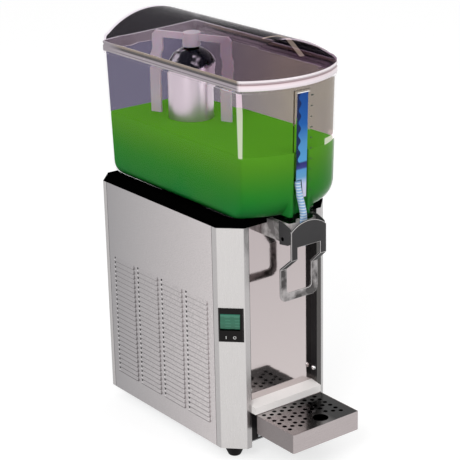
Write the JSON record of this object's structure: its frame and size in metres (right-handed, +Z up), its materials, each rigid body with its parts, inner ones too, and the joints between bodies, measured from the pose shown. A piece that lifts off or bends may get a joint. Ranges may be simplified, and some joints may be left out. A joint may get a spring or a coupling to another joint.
{
  "type": "cold drink dispenser",
  "caption": "Countertop cold drink dispenser: louvred steel cabinet, clear bowl with smoked lid and magnetic stirrer, push lever tap and drip tray.",
  "frame": {"origin": "centre of the overall box in X and Y, on the surface that the feet stand on", "axes": "+Z up, -Y towards the tap and the drip tray, +X to the right of someone who faces the tap"},
  "size_m": [0.2038, 0.418, 0.626],
  "materials": {
    "satin_steel": "satin brushed",
    "mirror_steel": "polished",
    "polished_steel": "polished",
    "galvanised": "plain zinc",
    "black_plastic": "fine satin",
    "grey_plastic": "fine satin",
    "light_plastic": "gloss",
    "white_plastic": "satin",
    "rubber": "matt",
    "clear_plastic": "clear gloss",
    "smoke_plastic": "smoked gloss",
    "stirrer_plastic": "translucent white",
    "silicone": "translucent pale blue",
    "blue_strip": "printed blue to white",
    "drink": "liquid",
    "copper": "drawn tube",
    "aluminium": "plain",
    "black_paint": "gloss paint",
    "foam": "closed cell foam",
    "bushing": "sintered",
    "lit_green": "lit from inside",
    "magnet": "nickel"
  },
  "bodies": {
    "cabinet": {"base_plate": "galvanised", "front_left_column": "satin_steel", "front_right_column": "satin_steel", "rear_left_column": "satin_steel", "rear_right_column": "satin_steel", "left_side_panel": "satin_steel", "right_side_panel": "satin_steel", "rear_panel": "galvanised", "rear_screws": "polished_steel", "cord_bush": "rubber", "feet": "rubber", "foot_bolts": "galvanised", "mirror_panel": "mirror_steel", "column_strips": "black_plastic", "trim_screws": "polished_steel", "tray_ledge": "white_plastic", "kick_plate": "black_plastic", "tray_rails": "galvanised", "deck": "black_plastic", "deck_insulation": "foam", "top_plate": "galvanised", "evaporator": "polished_steel", "evaporator_coil": "copper", "shaft_bushes": "bushing", "gear_motor": "grey_plastic", "motor_bracket": "galvanised", "tap_housing": "light_plastic", "tap_screws": "galvanised", "tap_pin": "polished_steel", "lever_spring": "polished_steel", "switch_bezel": "black_plastic", "switch_body": "black_plastic", "compressor": "black_paint", "compressor_grommets": "rubber", "condenser_fins": "aluminium", "condenser_frame": "galvanised", "condenser_coil": "copper", "fan_shroud": "galvanised", "fan_motor": "black_paint", "filter_drier": "copper", "discharge_line": "copper", "liquid_line": "copper", "suction_line": "copper", "control_box": "grey_plastic", "thermostat": "grey_plastic"},
    "bowl": {"bowl": "clear_plastic", "bowl_seal": "rubber", "level_strip": "blue_strip", "pinch_tube": "silicone", "drink": "drink"},
    "lid": {"lid": "smoke_plastic"},
    "stirrer": {"stirrer": "stirrer_plastic", "stirrer_magnet": "magnet"},
    "drive": {"drive_shaft": "galvanised", "drive_magnet": "magnet"},
    "lever": {"tap_lever": "grey_plastic"},
    "rocker": {"switch_rocker": "lit_green"},
    "drip_tray": {"drip_tray": "satin_steel"},
    "drip_grid": {"drip_grid": "satin_steel"},
    "fan": {"fan_blades": "aluminium"}
  },
  "joints": [
    {"name": "bowl_lift", "type": "slide", "parent": "cabinet", "child": "bowl", "axis": [0, 0, 1], "range_m": [0, 0.215]},
    {"name": "lid_lift", "type": "slide", "parent": "bowl", "child": "lid", "axis": [0, 0, 1], "range_m": [0, 0.12]},
    {"name": "stirrer_spin", "type": "hinge", "parent": "bowl", "child": "stirrer", "pos_m": [0, 0.0975, 0.578], "axis": [0, 0, 1], "continuous": true},
    {"name": "drive_spin", "type": "hinge", "parent": "cabinet", "child": "drive", "pos_m": [0, 0.0975, 0.578], "axis": [0, 0, 1], "continuous": true},
    {"name": "lever_push", "type": "hinge", "parent": "cabinet", "child": "lever", "pos_m": [0, -0.151, 0.351], "axis": [1, 0, 0], "range_deg": [0, 14], "stiffness_Nm_per_rad": 0.9, "springref_deg": -11.46},
    {"name": "switch_rock", "type": "hinge", "parent": "cabinet", "child": "rocker", "pos_m": [-0.0843, -0.09454, 0.2225], "axis": [0.7071, -0.7071, 0], "range_deg": [0, 14]},
    {"name": "tray_slide", "type": "slide", "parent": "cabinet", "child": "drip_tray", "axis": [0, -1, 0], "range_m": [0, 0.12]},
    {"name": "grid_lift", "type": "slide", "parent": "drip_tray", "child": "drip_grid", "axis": [0, 0, 1], "range_m": [0, 0.05]},
    {"name": "fan_spin", "type": "hinge", "parent": "cabinet", "child": "fan", "pos_m": [0, 0.125, 0.143], "axis": [0, 1, 0], "continuous": true}
  ],
  "couplings": [
    {"joint": "drive_spin", "follows": "stirrer_spin", "ratio": 1}
  ]
}
